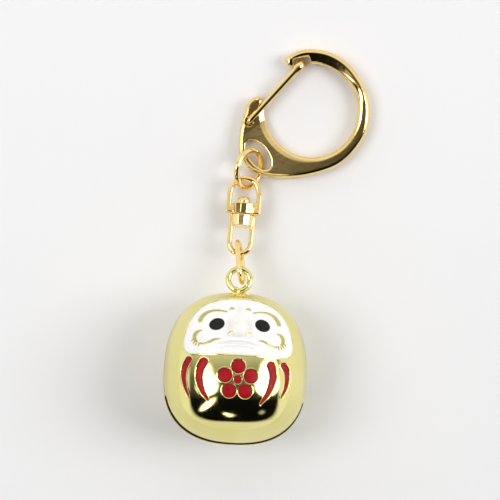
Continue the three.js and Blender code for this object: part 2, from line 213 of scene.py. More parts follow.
def skin(field, low, high, step):
    """The zero surface of a distance field inside a box, as (points, faces)."""
    low, high = np.asarray(low, float), np.asarray(high, float)
    axes = [np.arange(a, b + step, step) for a, b in zip(low, high)]
    shape = tuple(len(a) for a in axes)
    x, y, z = (a.reshape([-1 if i == k else 1 for i in range(3)]) for k, a in enumerate(axes))
    value = np.broadcast_to(field(x, y, z), shape)
    inside = value < 0
    cells = tuple(n - 1 for n in shape)
    total = np.zeros(cells + (3,))
    hits = np.zeros(cells)
    offsets = [(0, 0), (0, 1), (1, 0), (1, 1)]
    for k in range(3):
        first = [slice(None)] * 3
        second = [slice(None)] * 3
        first[k], second[k] = slice(0, -1), slice(1, None)
        a, b = value[tuple(first)], value[tuple(second)]
        crossing = (a < 0) != (b < 0)
        share = np.where(crossing, a / np.where(crossing, a - b, 1), 0)
        others = [i for i in range(3) if i != k]
        for oi, oj in offsets:
            pick = [slice(None)] * 3
            pick[others[0]] = slice(oi, oi + cells[others[0]])
            pick[others[1]] = slice(oj, oj + cells[others[1]])
            c, s = crossing[tuple(pick)], share[tuple(pick)]
            total[..., k] += np.where(c, s, 0)
            total[..., others[0]] += np.where(c, oi, 0)
            total[..., others[1]] += np.where(c, oj, 0)
            hits += c
    mixed = hits > 0
    number = np.full(cells, -1)
    number[mixed] = np.arange(mixed.sum())
    where = np.argwhere(mixed)
    points = low + (where + total[mixed] / hits[mixed][:, None]) * step
    faces = []
    for k in range(3):
        i, j = [(k + 1) % 3, (k + 2) % 3]
        first = [slice(1, -1)] * 3
        second = [slice(1, -1)] * 3
        first[k], second[k] = slice(0, -1), slice(1, None)
        a, b = inside[tuple(first)], inside[tuple(second)]
        edges = np.argwhere(a != b)
        rising = a[tuple(edges.T)]
        base = edges.copy()
        base[:, i] += 1
        base[:, j] += 1
        quad = []
        for di, dj in ((-1, -1), (0, -1), (0, 0), (-1, 0)):
            cell = base.copy()
            cell[:, i] += di
            cell[:, j] += dj
            quad.append(number[tuple(cell.T)])
        quad = np.stack(quad, axis=1)
        quad[~rising] = quad[~rising][:, ::-1]
        faces.append(quad)
    faces = np.concatenate(faces)
    for _ in range(3):
        here = field(*points.T)
        slope = np.stack([
            (field(*(points + np.eye(3)[k] * 0.01).T) - here) / 0.01 for k in range(3)
        ], axis=1)
        steepness = np.maximum((slope ** 2).sum(1), 0.2)
        points = points - slope * np.clip(here / steepness, -step, step)[:, None]
    return points, [tuple(face) for face in faces.tolist()]


def curve_through(points, count, closed=False):
    """Points along a smooth curve through the given points (centripetal-like, by chord length)."""
    points = np.asarray(points, float)
    if closed:
        points = np.concatenate([points[-3:], points, points[:3]])
    steps = np.sqrt(np.linalg.norm(np.diff(points, axis=0), axis=1))
    knots = np.concatenate([[0], np.cumsum(steps)])
    slopes = np.gradient(points, knots, axis=0)
    start, stop = (knots[3], knots[-3]) if closed else (knots[0], knots[-1])
    t = np.linspace(start, stop, count, endpoint=not closed)
    i = np.clip(np.searchsorted(knots, t, side="right") - 1, 0, len(knots) - 2)
    width = knots[i + 1] - knots[i]
    s = ((t - knots[i]) / width)[:, None]
    w = width[:, None]
    return ((2 * s**3 - 3 * s**2 + 1) * points[i] + (s**3 - 2 * s**2 + s) * w * slopes[i]
            + (3 * s**2 - 2 * s**3) * points[i + 1] + (s**3 - s**2) * w * slopes[i + 1])


# ---- materials -------------------------------------------------------------------------


class Tree:
    """Short calls for building a tree of nodes."""

    def __init__(self, tree):
        self.tree = tree

    def feed(self, socket, value):
        """Gives a socket a link, a number or a colour."""
        if isinstance(value, bpy.types.NodeSocket):
            self.tree.links.new(value, socket)
        elif socket.type == "RGBA" and len(value) == 3:
            socket.default_value = (*value, 1)
        else:
            socket.default_value = value

    def node(self, kind, **inputs):
        made = self.tree.nodes.new(kind)
        for label, value in inputs.items():
            self.feed(made.inputs[label.replace("_", " ")], value)
        return made

    def spread(self, value, low, high, start=0.35, stop=0.65, smooth=False):
        """value, which runs from start to stop, as a number from low to high."""
        limits = {"From_Min": start, "From_Max": stop, "To_Min": low, "To_Max": high}
        made = self.node("ShaderNodeMapRange", Value=value, **limits)
        made.interpolation_type = "SMOOTHSTEP" if smooth else "LINEAR"
        return made.outputs["Result"]

    def mix(self, factor, a, b, blend="MIX"):
        made = self.tree.nodes.new("ShaderNodeMix")
        made.data_type = "RGBA"
        made.blend_type = blend
        for index, value in ((0, factor), (6, a), (7, b)):
            self.feed(made.inputs[index], value)
        return made.outputs[2]

    def maths(self, operation, a, b=0.0):
        made = self.tree.nodes.new("ShaderNodeMath")
        made.operation = operation
        self.feed(made.inputs[0], a)
        self.feed(made.inputs[1], b)
        return made.outputs[0]


class Nodes(Tree):
    """The nodes of one material."""

    def __init__(self, name):
        self.material = bpy.data.materials.new(name)
        self.material.use_nodes = True
        super().__init__(self.material.node_tree)
        self.shader = self.tree.nodes["Principled BSDF"]
        self.coordinates = self.tree.nodes.new("ShaderNodeTexCoord").outputs["Object"]

    def noise(self, scale, detail=3, roughness=0.5, stretch=None):
        vector = self.coordinates
        if stretch:
            vector = self.node("ShaderNodeMapping", Vector=vector, Scale=stretch).outputs["Vector"]
        return self.node("ShaderNodeTexNoise", Vector=vector, Scale=scale, Detail=detail,
                         Roughness=roughness, Distortion=0).outputs["Fac"]

    def attribute(self, name):
        made = self.tree.nodes.new("ShaderNodeAttribute")
        made.attribute_name = name
        return made.outputs["Fac"]

    def bumps(self, *layers):
        """A chain of bumps: each layer is (height socket, depth in metres)."""
        normal = None
        for height, depth in layers:
            made = self.node("ShaderNodeBump", Height=height, Distance=depth, Strength=1.0)
            if normal:
                self.feed(made.inputs["Normal"], normal)
            normal = made.outputs["Normal"]
        self.feed(self.shader.inputs["Normal"], normal)

    def so_far(self, label):
        """What already feeds one of the shader's sockets."""
        return self.shader.inputs[label].links[0].from_socket

    def set(self, **inputs):
        for label, value in inputs.items():
            self.feed(self.shader.inputs[label.replace("_", " ")], value)


def plated(name, bright, deep, smooth, worn, ripple):
    """Polished gold plate: two tones of plating, fine wipe marks and a slight ripple."""
    n = Nodes(name)
    tone = n.spread(n.noise(140, 4, 0.6), 0, 1, 0.35, 0.7)
    n.set(
        Base_Color=n.mix(tone, bright, deep),
        Metallic=1.0,
        Roughness=n.spread(n.noise(1600, 5, 0.65), smooth, worn, 0.3, 0.75),
    )
    wipe = n.noise(9000, 2, 0.5, stretch=(1, 0.06, 0.3))
    n.bumps((n.noise(260, 2, 0.4), ripple), (wipe, 0.0000012))
    return n


def bell_gold():
    """Lemon gold outside; the attribute inside paints the inner face of the shells and their rolled rim a
    rough, near-black brown: painted shade of the bell's hollow and of its slit.
    """
    n = plated("bell_gold", (0.83, 0.765, 0.33), (0.79, 0.71, 0.285), 0.045, 0.12, 0.000012)
    inside = n.attribute("inside")
    # Painted shade: where inside is 1 the colour turns near-black brown, standing in for the shade in the
    # bell's hollow and its slit.
    n.set(
        Base_Color=n.mix(inside, n.so_far("Base Color"), (0.05, 0.035, 0.012)),
        Roughness=n.spread(inside, n.so_far("Roughness"), 0.6, 0, 1),
    )
    return n.material


def clasp_gold():
    """Cast and barrel-polished gold: the same plating over a softly uneven face."""
    n = plated("clasp_gold", (0.97, 0.74, 0.33), (0.88, 0.63, 0.24), 0.07, 0.17, 0.00001)
    n.bumps((n.noise(330, 3, 0.55), 0.00004), (n.noise(1500, 3, 0.6), 0.000006))
    return n.material


BELL_GOLD = bell_gold()
# The face's raised lines take a darker copy of the bell's gold: painted shade of the thin ridges.
SHADED_RIDGE_GOLD = plated("shaded_ridge_gold", (0.66, 0.58, 0.22), (0.50, 0.42, 0.13), 0.18, 0.32, 0.000012).material
CHAIN_GOLD = plated("chain_gold", (0.98, 0.77, 0.37), (0.94, 0.69, 0.29), 0.06, 0.14, 0.00001).material
CLASP_GOLD = clasp_gold()


def glaze(name, colour, deep, rough, grain, coat):
    """Fired enamel: glossy, with a faintly uneven colour and surface."""
    n = Nodes(name)
    tone = n.spread(n.noise(700, 4, 0.6), 0, 1, 0.35, 0.7)
    n.set(
        Base_Color=n.mix(tone, colour, deep),
        Roughness=n.spread(n.noise(2500, 4), rough * 0.7, rough * 1.4),
        Coat_Weight=coat,
        Coat_Roughness=0.05,
    )
    n.bumps((n.noise(900, 3), grain), (n.noise(5000, 3), grain * 0.25))
    return n


def black_glaze():
    """Black enamel with little shine."""
    n = glaze("black_enamel", (0.006, 0.006, 0.007), (0.014, 0.013, 0.013), 0.32, 0.00002, 0.0)
    n.set(Specular_IOR_Level=0.2)
    return n.material


def red_glaze():
    """Red enamel; the attribute edge darkens it beside the metal, at the rim of its recess: painted shade.
    """
    n = glaze("red_enamel", (0.42, 0.004, 0.010), (0.27, 0.001, 0.004), 0.42, 0.00006, 0.0)
    # Painted shade: the red turns darker towards the recess wall.
    edge = n.spread(n.attribute("edge"), 0, 0.75, 0, 1)
    n.set(
        Base_Color=n.mix(edge, n.so_far("Base Color"), (0.2, 0.0, 0.003)),
        Specular_IOR_Level=0.2,
    )
    return n.material


def white_glaze():
    """White enamel; gilt marks where gold shows through it, and a second attribute greys it beside and
    under the nose and along the mouth: painted shade of the face's hollows.
    """
    n = glaze("white_enamel", (0.935, 0.935, 0.93), (0.905, 0.90, 0.89), 0.3, 0.000015, 0.4)
    gilt = n.attribute("gilt")
    # Painted shade: grey mixed into the white in the face's hollows.
    with_painted_shade = n.mix(n.attribute("painted_shade"), n.so_far("Base Color"), (0.66, 0.62, 0.62))
    n.set(
        Base_Color=n.mix(gilt, with_painted_shade, (0.80, 0.70, 0.34)),
        Metallic=n.spread(gilt, 0, 0.8, 0.3, 1),
    )
    return n.material


def tumbled_steel():
    """The grey steel of the ball."""
    n = Nodes("ball_steel")
    n.set(
        Base_Color=n.mix(n.noise(500, 4), (0.62, 0.62, 0.62), (0.45, 0.45, 0.46)),
        Metallic=1.0,
        Roughness=n.spread(n.noise(1500, 5, 0.7), 0.22, 0.42),
    )
    n.bumps((n.noise(1200, 5), 0.00003))
    return n.material


BLACK, RED, WHITE, STEEL = black_glaze(), red_glaze(), white_glaze(), tumbled_steel()

# ---- bell surface ----------------------------------------------------------------------

HALF_WIDTH, HALF_DEPTH = 13.36, 11.6
CROWN, BASE = 15.78, 12.66
PROFILE, SECTION = 2.47, 2.15
WALL = 0.8
SEAM, SEAM_GAP = 1.9, 0.1
SLIT_WIDTH, SLIT_TOP = 1.7, -4.4
RECESS, RECESS_WALL, LIP_HEIGHT = 0.45, 0.13, 0.018
CREASE_Z, CREASE_DEPTH = SEAM + SLIT_WIDTH / 2 + 0.75, 0.06


def bell_point(d):
    """The bell's outer surface in directions d."""
    x, y, z = np.moveaxis(d, -1, 0)
    height = np.where(y > 0, CROWN, BASE)
    round_ = (np.abs(x / HALF_WIDTH) ** SECTION + np.abs(z / HALF_DEPTH) ** SECTION) ** (PROFILE / SECTION)
    scale = (round_ + np.abs(y / height) ** PROFILE) ** (-1 / PROFILE)
    return d * scale[..., None]


def bell_normal(p):
    x, y, z = np.moveaxis(p, -1, 0)
    height = np.where(y > 0, CROWN, BASE)
    r = np.abs(x / HALF_WIDTH) ** SECTION + np.abs(z / HALF_DEPTH) ** SECTION
    outer = PROFILE / SECTION * np.maximum(r, 1e-9) ** (PROFILE / SECTION - 1)
    return unit(np.stack([
        outer * SECTION * np.abs(x / HALF_WIDTH) ** (SECTION - 1) * np.sign(x) / HALF_WIDTH,
        PROFILE * np.abs(y / height) ** (PROFILE - 1) * np.sign(y) / height,
        outer * SECTION * np.abs(z / HALF_DEPTH) ** (SECTION - 1) * np.sign(z) / HALF_DEPTH,
    ], axis=-1))


def on_face(x, y, lift=0.0):
    """Points of the bell's front over (x, y), raised by lift along the surface's normal."""
    height = np.where(y > 0, CROWN, BASE)
    level = np.clip(1 - np.abs(y / height) ** PROFILE, 0, 1) ** (SECTION / PROFILE)
    z = HALF_DEPTH * np.clip(level - np.abs(x / HALF_WIDTH) ** SECTION, 0, 1) ** (1 / SECTION)
    p = np.stack([x, y, z], axis=-1)
    return p + bell_normal(p) * np.asarray(lift)[..., None]


# ---- drawings on the bell's face -----------------------------------------------------------

# The enamel reaches this far past its outline, into the recess's wall, so that no gap shows.
OVERLAP = 0.02
PANEL_CENTRE = np.array([0.0, 8.0])
PANEL_BASE = 2.95


def panel_outline(count=480):
    """The white panel's outline, counter-clockwise."""
    corner = [[8.3, 2.95], [9.2, 3.08], [9.85, 3.6], [10.15, 4.6], [10.13, 5.8]]
    side = corner + [[9.8, 7.2], [8.9, 9.75], [7.0, 12.05], [4.0, 13.45]]
    floor = [[x, PANEL_BASE] for x in (2.0, 4.5, 6.8)]
    right = floor + side
    points = right + [[0, 13.9]] + [[-x, y] for x, y in reversed(right)] + [[0, PANEL_BASE]]
    return curve_through(points, count, closed=True)


outline = panel_outline()
spoke = np.arctan2(*(outline - PANEL_CENTRE).T[::-1])
order = np.argsort(spoke)
panel_angle = np.concatenate([spoke[order] - 2 * np.pi, spoke[order], spoke[order] + 2 * np.pi])
panel_radius = np.tile(np.linalg.norm(outline - PANEL_CENTRE, axis=1)[order], 3)
panel_slope = np.gradient(panel_radius, panel_angle)


def panel_distance(x, y):
    """Distance outside the panel's outline; negative inside."""
    dx, dy = x - PANEL_CENTRE[0], y - PANEL_CENTRE[1]
    angle = np.arctan2(dy, dx)
    reach = np.interp(angle, panel_angle, panel_radius)
    slope = np.interp(angle, panel_angle, panel_slope)
    return (np.hypot(dx, dy) - reach) / np.hypot(1, slope / reach)


FAR = 99.0


def line_distance(x, y, spine, half=None):
    """Distance to the line through the points of spine, less its half width there, and the
    place along it, 0 to 1."""
    half = np.zeros(len(spine)) if half is None else half
    shape = np.broadcast(x, y).shape
    best, place = np.full(shape, FAR), np.zeros(shape)
    for i in range(len(spine) - 1):
        (ax, ay), (ex, ey) = spine[i], spine[i + 1] - spine[i]
        t = np.clip(((x - ax) * ex + (y - ay) * ey) / (ex * ex + ey * ey), 0, 1)
        gap = np.hypot(x - ax - t * ex, y - ay - t * ey) - (half[i] + (half[i + 1] - half[i]) * t)
        place = np.where(gap < best, (i + t) / (len(spine) - 1), place)
        best = np.minimum(best, gap)
    return best, place


# The brush strokes' points from head to tail, and their half widths at the head.
STROKES = {
    "left_outer": ([[-9.05, 1.85], [-9.7, 0.4], [-9.85, -1.2], [-9.5, -3.1], [-8.8, -4.8]], 0.53),
    "left_inner": ([[-6.35, 1.4], [-6.95, 0.1], [-7.05, -1.7], [-6.4, -3.8], [-5.3, -5.5]], 0.74),
    "right_inner": ([[6.05, 1.25], [6.5, -0.1], [6.4, -1.8], [5.65, -4.0], [4.45, -5.8]], 0.74),
    "right_outer": ([[8.45, 1.55], [9.1, 0.4], [9.25, -0.9], [9.0, -2.7], [8.3, -4.3]], 0.53),
}


class Stroke:
    """A brush stroke: round at its head and drawn out to a thin tail."""

    def __init__(self, through, half):
        self.spine = curve_through(through, 60)
        self.half = half * (1 - 0.75 * np.linspace(0, 1, 60) ** 1.6)

    def distance(self, x, y):
        return line_distance(x, y, self.spine, self.half)[0]

    def plate(self, across=12):
        """Rows of (x, y) across the stroke, from beyond its head to beyond its tail."""
        tangent = unit(np.gradient(self.spine, axis=0))
        rows = []
        for end, sign in ((0, -1), (-1, 1)):
            r = self.half[end] + OVERLAP
            caps = [(self.spine[end] + sign * tangent[end] * r * math.sin(a), tangent[end], r * math.cos(a))
                    for a in np.radians([82, 68, 52, 35, 18])]
            rows.append(caps if end == 0 else caps[::-1])
        body = list(zip(self.spine, tangent, self.half + OVERLAP))
        stations = rows[0] + body + rows[1]
        u = np.linspace(-1, 1, across + 1)
        return np.array([
            centre + np.outer(u * width, (-t[1], t[0])) for centre, t, width in stations
        ]), u


BLOSSOM_Y, BLOSSOM_REACH, PETAL, HEART = -1.75, 2.5, 1.3, 0.72
petal_angles = np.pi / 2 + 2 * np.pi / 5 * np.arange(5)
DISCS = {
    f"petal_{i + 1}": (BLOSSOM_REACH * math.cos(a), BLOSSOM_Y + BLOSSOM_REACH * math.sin(a), PETAL)
    for i, a in enumerate(petal_angles)
}
DISCS["heart"] = (0.0, BLOSSOM_Y, HEART)
strokes = {name: Stroke(*drawn) for name, drawn in STROKES.items()}


def front_lift(p):
    """How far the metal stands off the bell's plain surface: the recesses, each with a fine raised
    lip, and the crease of the rim that is rolled in along the slit."""
    x, y, z = np.moveaxis(p, -1, 0)
    gap = panel_distance(x, y)
    for stroke in strokes.values():
        gap = np.minimum(gap, stroke.distance(x, y))
    for cx, cy, r in DISCS.values():
        gap = np.minimum(gap, np.hypot(x - cx, y - cy) - r)
    lip = LIP_HEIGHT * np.exp(-((gap - RECESS_WALL) / 0.08) ** 2)
    crease = CREASE_DEPTH * np.exp(-(((z - CREASE_Z) / 0.13) ** 2))
    crease = crease * smoothstep((SLIT_TOP - 1 - y) / 1.5)
    return lip - crease - RECESS * smoothstep(0.5 - gap / RECESS_WALL)


# ---- bell shells -----------------------------------------------------------------------


def disc_grid(n):
    """An n x n grid bent into a disc: radius 0..1 and angle at each point."""
    s, t = np.meshgrid(np.linspace(-1, 1, n), np.linspace(-1, 1, n), indexing="ij")
    wide = np.abs(s) > np.abs(t)
    safe_s, safe_t = np.where(s == 0, 1e-9, s), np.where(t == 0, 1e-9, t)
    r = np.where(wide, s, t)
    angle = np.where(wide, np.pi / 4 * t / safe_s, np.pi / 2 - np.pi / 4 * s / safe_t)
    angle = np.where(r < 0, angle + np.pi, angle)
    return np.abs(r), angle


def shell_directions(n, facing, rim_z):
    """Unit directions that cover the half of the bell that faces +Z or -Z, down to its rim."""
    radius, angle = disc_grid(n)
    furthest = math.radians(130)
    low, high = np.zeros_like(angle), np.full_like(angle, furthest)
    cos_a, sin_a = np.cos(angle), np.sin(angle)

    def direction(tilt):
        return np.stack([np.sin(tilt) * cos_a, np.sin(tilt) * sin_a, facing * np.cos(tilt)], axis=-1)

    halvings = 30
    for _ in range(halvings):
        middle = (low + high) / 2
        p = bell_point(direction(middle))
        short = facing * (p[..., 2] - rim_z(p[..., 1])) > 0
        low, high = np.where(short, middle, low), np.where(short, high, middle)
    return direction(radius * (low + high) / 2)


def grid_faces(index):
    """Quads between the point numbers of a grid."""
    quads = np.stack([index[:-1, :-1], index[1:, :-1], index[1:, 1:], index[:-1, 1:]], axis=-1)
    return [tuple(q) for q in quads.reshape(-1, 4).tolist()]


def border(index):
    """The point numbers round a grid's edge."""
    return np.concatenate([index[:-1, 0], index[-1, :-1], index[:0:-1, -1], index[0, :0:-1]])


def numbered(rows, columns, start=0):
    return np.arange(rows * columns).reshape(rows, columns) + start


# The rim is rolled in: its radius, the steps round it and how much painted shade each one takes.
ROLL_RADIUS = 0.12
ROLL_ANGLES = [18, 36, 54, 72, 90]
ROLL_PAINTED_SHADE = [0.2, 0.6, 1.0, 1.0, 1.0]


def shell(facing, fine, coarse, lift):
    """Half of the bell: outer skin with its relief, rolled rim and plain inner skin. Returns its points,
    its faces and which points are on the inside, as the share of painted shade at each point: none on the
    outer skin, rising round the rolled rim, full on the inner skin."""
    round_over = ROLL_RADIUS
    step = SEAM_GAP / 2 + round_over

    def rim_z(y):
        opening = (SLIT_WIDTH - SEAM_GAP) / 2 * smoothstep((SLIT_TOP - y) / 0.5 + 0.5)
        return SEAM + facing * (step + opening)

    outer = bell_point(shell_directions(fine, facing, rim_z))
    normal = bell_normal(outer)
    raised = outer + normal * lift(outer)[..., None]
    inner_base = bell_point(shell_directions(coarse, facing, rim_z))
    inner = inner_base - bell_normal(inner_base) * WALL
    points = [raised.reshape(-1, 3)]
    outer_grid = numbered(fine, fine)
    faces = grid_faces(outer_grid)
    edge = border(outer_grid)
    last = edge
    offset = fine * fine
    flat, flat_normal = outer.reshape(-1, 3)[edge], normal.reshape(-1, 3)[edge]
    over = unit(np.cross(flat_normal, np.roll(flat, -1, 0) - np.roll(flat, 1, 0)))
    over *= np.sign(-facing * over[:, 2])[:, None]
    for a in np.radians(ROLL_ANGLES):
        loop = flat - flat_normal * round_over * (1 - math.cos(a)) + over * round_over * math.sin(a)
        points.append(loop)
        here = np.arange(len(edge)) + offset
        faces += wall(last.tolist(), here.tolist())
        last = here
        offset += len(edge)
    points.append(inner.reshape(-1, 3) + (0, 0, -facing * round_over))
    inner_grid = numbered(coarse, coarse, offset)
    inner_edge = border(inner_grid)
    ratio = (fine - 1) // (coarse - 1)
    count = len(edge)
    for i in range(len(inner_edge)):
        outer_run = [int(last[(i * ratio + k) % count]) for k in range(ratio + 1)]
        faces.append((*outer_run, int(inner_edge[(i + 1) % len(inner_edge)]), int(inner_edge[i])))
    faces += [face[::-1] for face in grid_faces(inner_grid)]
    # Painted shade: the rolled rim darkens from its outer edge inwards, so the slit reads as a dark line.
    rim_shade = np.repeat(ROLL_PAINTED_SHADE, count)
    inside = np.concatenate([np.zeros(fine * fine), rim_shade, np.ones(coarse * coarse)])
    return np.concatenate(points), faces, inside


# inside paints the inner skin and the rolled rim of each shell with painted shade.
*front, inside = shell(1, 337, 43, front_lift)
piece("bell_front", [front], BELL, "bell", BELL_GOLD, ["bell_front_shell"], {"inside": inside})
*back, inside = shell(-1, 161, 41, lambda p: 0 * p[..., 0])
piece("bell_back", [back], BELL, "bell", BELL_GOLD, ["bell_back_shell"], {"inside": inside})

# ---- enamel ----------------------------------------------------------------------------

ENAMEL_FLOOR = -0.38


def rows_plate(rows, top_lift):
    """A closed plate from rows of (x, y) points: its top at top_lift, its bottom on the recess."""
    count, width = rows.shape[:2]
    top = on_face(rows[..., 0], rows[..., 1], top_lift)
    bottom = on_face(rows[..., 0], rows[..., 1], np.full(rows.shape[:2], ENAMEL_FLOOR))
    points = np.concatenate([top.reshape(-1, 3), bottom.reshape(-1, 3)])
    upper, under = numbered(count, width), numbered(count, width, count * width)
    sides = wall(border(under).tolist(), border(upper).tolist())
    return points, grid_faces(upper) + [face[::-1] for face in grid_faces(under)] + sides


def fan_plate(centre, rim, rings, top_lift):
    """A closed plate from a centre and a closed rim of (x, y) points. top_lift(x, y, share) gives
    the top's height, where share runs from 0 at the centre to 1 at the rim."""
    spokes = len(rim)
    share = np.linspace(0, 1, rings + 1)[1:]
    xy = centre + (rim - centre)[None] * share[:, None, None]
    shares = np.broadcast_to(share[:, None], xy.shape[:2])
    top = on_face(xy[..., 0], xy[..., 1], top_lift(xy[..., 0], xy[..., 1], shares)).reshape(-1, 3)
    cx, cy = (np.array([c]) for c in centre)
    middle = on_face(cx, cy, top_lift(cx, cy, np.zeros(1)))
    coarse = xy[max(rings // 2 - 1, 0)::max(rings // 2, 1)][:2]
    bottom = on_face(coarse[..., 0], coarse[..., 1], np.full(coarse.shape[:2], ENAMEL_FLOOR)).reshape(-1, 3)
    base = on_face(cx, cy, np.full(1, ENAMEL_FLOOR))
    points = np.concatenate([middle, top, base, bottom])
    loops = [[1 + r * spokes + i for i in range(spokes)] for r in range(rings)]
    faces = [(0, a, b) for a, b in zip(loops[0], loops[0][1:] + loops[0][:1])]
    for a, b in zip(loops, loops[1:]):
        faces += wall(b, a)
    under = 1 + rings * spokes
    low = [[under + 1 + r * spokes + i for i in range(spokes)] for r in range(len(coarse))]
    faces += [(under, b, a) for a, b in zip(low[0], low[0][1:] + low[0][:1])]
    for a, b in zip(low, low[1:]):
        faces += wall(a, b)
    faces += wall(low[-1], loops[-1])
    return points, faces, np.concatenate([[0], shares.ravel(), np.ones(1 + len(bottom))])


def hump(x, y, cx, cy, sx, sy, tilt=0.0):
    """A smooth round rise, 1 at its middle."""
    c, s = math.cos(math.radians(tilt)), math.sin(math.radians(tilt))
    u, v = (x - cx) * c + (y - cy) * s, (y - cy) * c - (x - cx) * s
    return np.exp(-((u / sx) ** 2) - (v / sy) ** 2)


def twin(x, y, cx, cy, sx, sy, tilt=0.0):
    """The same rise on both sides of the face, each turned outwards by tilt."""
    return hump(x, y, -cx, cy, sx, sy, tilt) + hump(x, y, cx, cy, sx, sy, -tilt)


# Raised lines of the face: points, and the line's half width along it.
BROW = [[-7.45, 8.9], [-7.0, 9.9], [-6.3, 10.6], [-5.2, 11.05], [-3.8, 11.15], [-2.3, 10.95]]
TICK = [[-1.95, 11.35], [-1.5, 11.75], [-1.0, 11.55]]
HOOK = [[-6.9, 7.3], [-7.6, 7.1], [-8.15, 6.4], [-8.1, 5.6], [-7.6, 5.1]]
CLAWS = [
    [[-8.25, 5.75], [-8.75, 5.25]],
    [[-8.0, 5.3], [-8.45, 4.75]],
    [[-7.7, 5.1], [-8.0, 4.4]],
    [[-7.3, 4.95], [-7.45, 4.25]],
]
SMILE = [[-7.5, 4.95], [-6.6, 4.75], [-5.6, 5.05], [-4.6, 5.6], [-3.5, 5.75]]
NOSTRIL = [[-2.15, 6.65], [-1.7, 6.95], [-1.15, 6.9]]


def mirrored(lines):
    return [[-x, y] for x, y in lines]


def face_lines():
    """(points, widest half width, height, how the width runs) of every raised line."""
    lines = []
    for flip in (False, True):
        side = (lambda line: mirrored(line)) if flip else (lambda line: line)
        lines += [
            (side(BROW), 0.46, 0.07, "brow"),
            (side(TICK), 0.24, 0.06, "even"),
            (side(HOOK), 0.38, 0.07, "even"),
            (side(SMILE), 0.24, 0.06, "even"),
            (side(NOSTRIL), 0.20, 0.05, "even"),
        ]
        lines += [(side(claw), 0.15, 0.05, "even") for claw in CLAWS]
    return lines


def line_width(place, half, run):
    if run == "brow":
        return half * (1.0 - 0.72 * place) * np.clip(place / 0.06 + 0.35, 0, 1)
    return half * (0.35 + 0.65 * np.sin(np.pi * np.clip(place, 0.03, 0.97)))


EYE_X, EYE_Y, EYE_LONG, EYE_SHORT, EYE_TILT = 4.25, 8.65, 1.45, 1.15, 20
ENAMEL_TOP = -0.05
RELIEF, RELIEF_FADE = 1.5, 1.2


def face_relief(x, y):
    """Height of the face's features above the panel's plain surface."""
    nose = 0.42 * hump(x, y, 0, 7.6, 1.25, 1.3) + 0.22 * hump(x, y, 0, 9.6, 0.7, 1.8)
    wings = 0.16 * twin(x, y, 1.35, 7.0, 0.6, 0.5)
    sockets = -0.16 * twin(x, y, EYE_X, EYE_Y, 2.1, 1.6)
    brows = 0.12 * twin(x, y, 4.6, 11.0, 2.6, 0.7, 8)
    cheeks = 0.12 * twin(x, y, 6.2, 6.2, 1.3, 0.9)
    bend = 5.15 - 0.035 * x * x
    lips = 0.13 * np.exp(-((y - bend - 0.42) / 0.3) ** 2) - 0.12 * np.exp(-((y - bend) / 0.16) ** 2)
    lips = lips + 0.12 * np.exp(-((y - bend + 0.45) / 0.32) ** 2)
    lips = lips * np.exp(-((x / 3.6) ** 4))
    crease = -0.07 * np.exp(-((np.hypot(x * 0.55, y - 4.1) - 1.15) / 0.14) ** 2) * (y < 4.4)
    return RELIEF * (nose + wings + sockets + brows + cheeks + lips + crease)


def panel_lift(x, y, _):
    """Height of the white enamel, which sinks a little beside the metal."""
    gap = -panel_distance(x, y)
    rim = ENAMEL_TOP - 0.13 * np.exp(-np.maximum(gap, 0) / 0.16)
    return rim + face_relief(x, y) * smoothstep(gap / RELIEF_FADE)


def grown(rim, by):
    """A closed (x, y) outline, moved outwards by a distance."""
    ahead = np.roll(rim, -1, 0) - np.roll(rim, 1, 0)
    return rim + unit(np.stack([ahead[:, 1], -ahead[:, 0]], axis=1)) * by


white_rim = grown(panel_outline(320), OVERLAP)
points, faces, _ = fan_plate(PANEL_CENTRE, white_rim, 96, panel_lift)
px, py = points[:, 0], points[:, 1]
gilt = np.zeros(len(points))
for drawn, half, height, run in face_lines():
    gap, place = line_distance(px, py, curve_through(drawn, 24))
    gilt = np.maximum(gilt, 0.55 * smoothstep(1.0 - (gap - 0.6 * line_width(place, half, run)) / 0.22))
gilt = np.maximum(gilt, 0.2 * hump(px, py, 0.1, 7.2, 1.2, 0.5))
gilt = np.maximum(gilt, 0.15 * hump(px, py, 0.0, 9.3, 1.1, 2.0))
# Painted shade in the enamel: grey beside the nose, under it, along the mouth and at the top of the nose's
# bridge.
painted_shade = 0.55 * twin(px, py, 1.9, 8.3, 0.8, 1.9, -12)
painted_shade = painted_shade + 0.5 * (hump(px, py, 0, 6.35, 2.4, 0.3) + hump(px, py, 0, 4.95, 3.6, 0.22))
painted_shade = painted_shade + 0.35 * hump(px, py, 0, 11.6, 0.8, 1.3)
piece("panel_enamel", [(points, faces)], BELL, "bell", WHITE, ["face_enamel"],
      {"gilt": gilt, "painted_shade": painted_shade})



def oval_rim(cx, cy, long, short, tilt=0.0, count=72):
    """Points round an oval whose long axis is turned by tilt, in degrees."""
    a, tilt = np.linspace(0, 2 * np.pi, count, endpoint=False), math.radians(tilt)
    u, v = long * np.cos(a), short * np.sin(a)
    return np.stack([
        cx + u * math.cos(tilt) - v * math.sin(tilt), cy + u * math.sin(tilt) + v * math.cos(tilt),
    ], axis=1)


def pupil_lift(x, y, share):
    return face_relief(x, y) - 0.03 + 0.12 * np.sqrt(1.02 - share * share)


def disc_lift(_x, _y, share):
    return ENAMEL_TOP - 0.08 * share**4


for side, name in ((-1, "left"), (1, "right")):
    centre = np.array([side * EYE_X, EYE_Y + 0.06 * side])
    rim = oval_rim(*centre, EYE_LONG, EYE_SHORT, -EYE_TILT * side)
    points, faces, _ = fan_plate(centre, rim, 14, pupil_lift)
    piece("pupil_" + name, [(points, faces)], BELL, "bell", BLACK, ["eye_" + name])

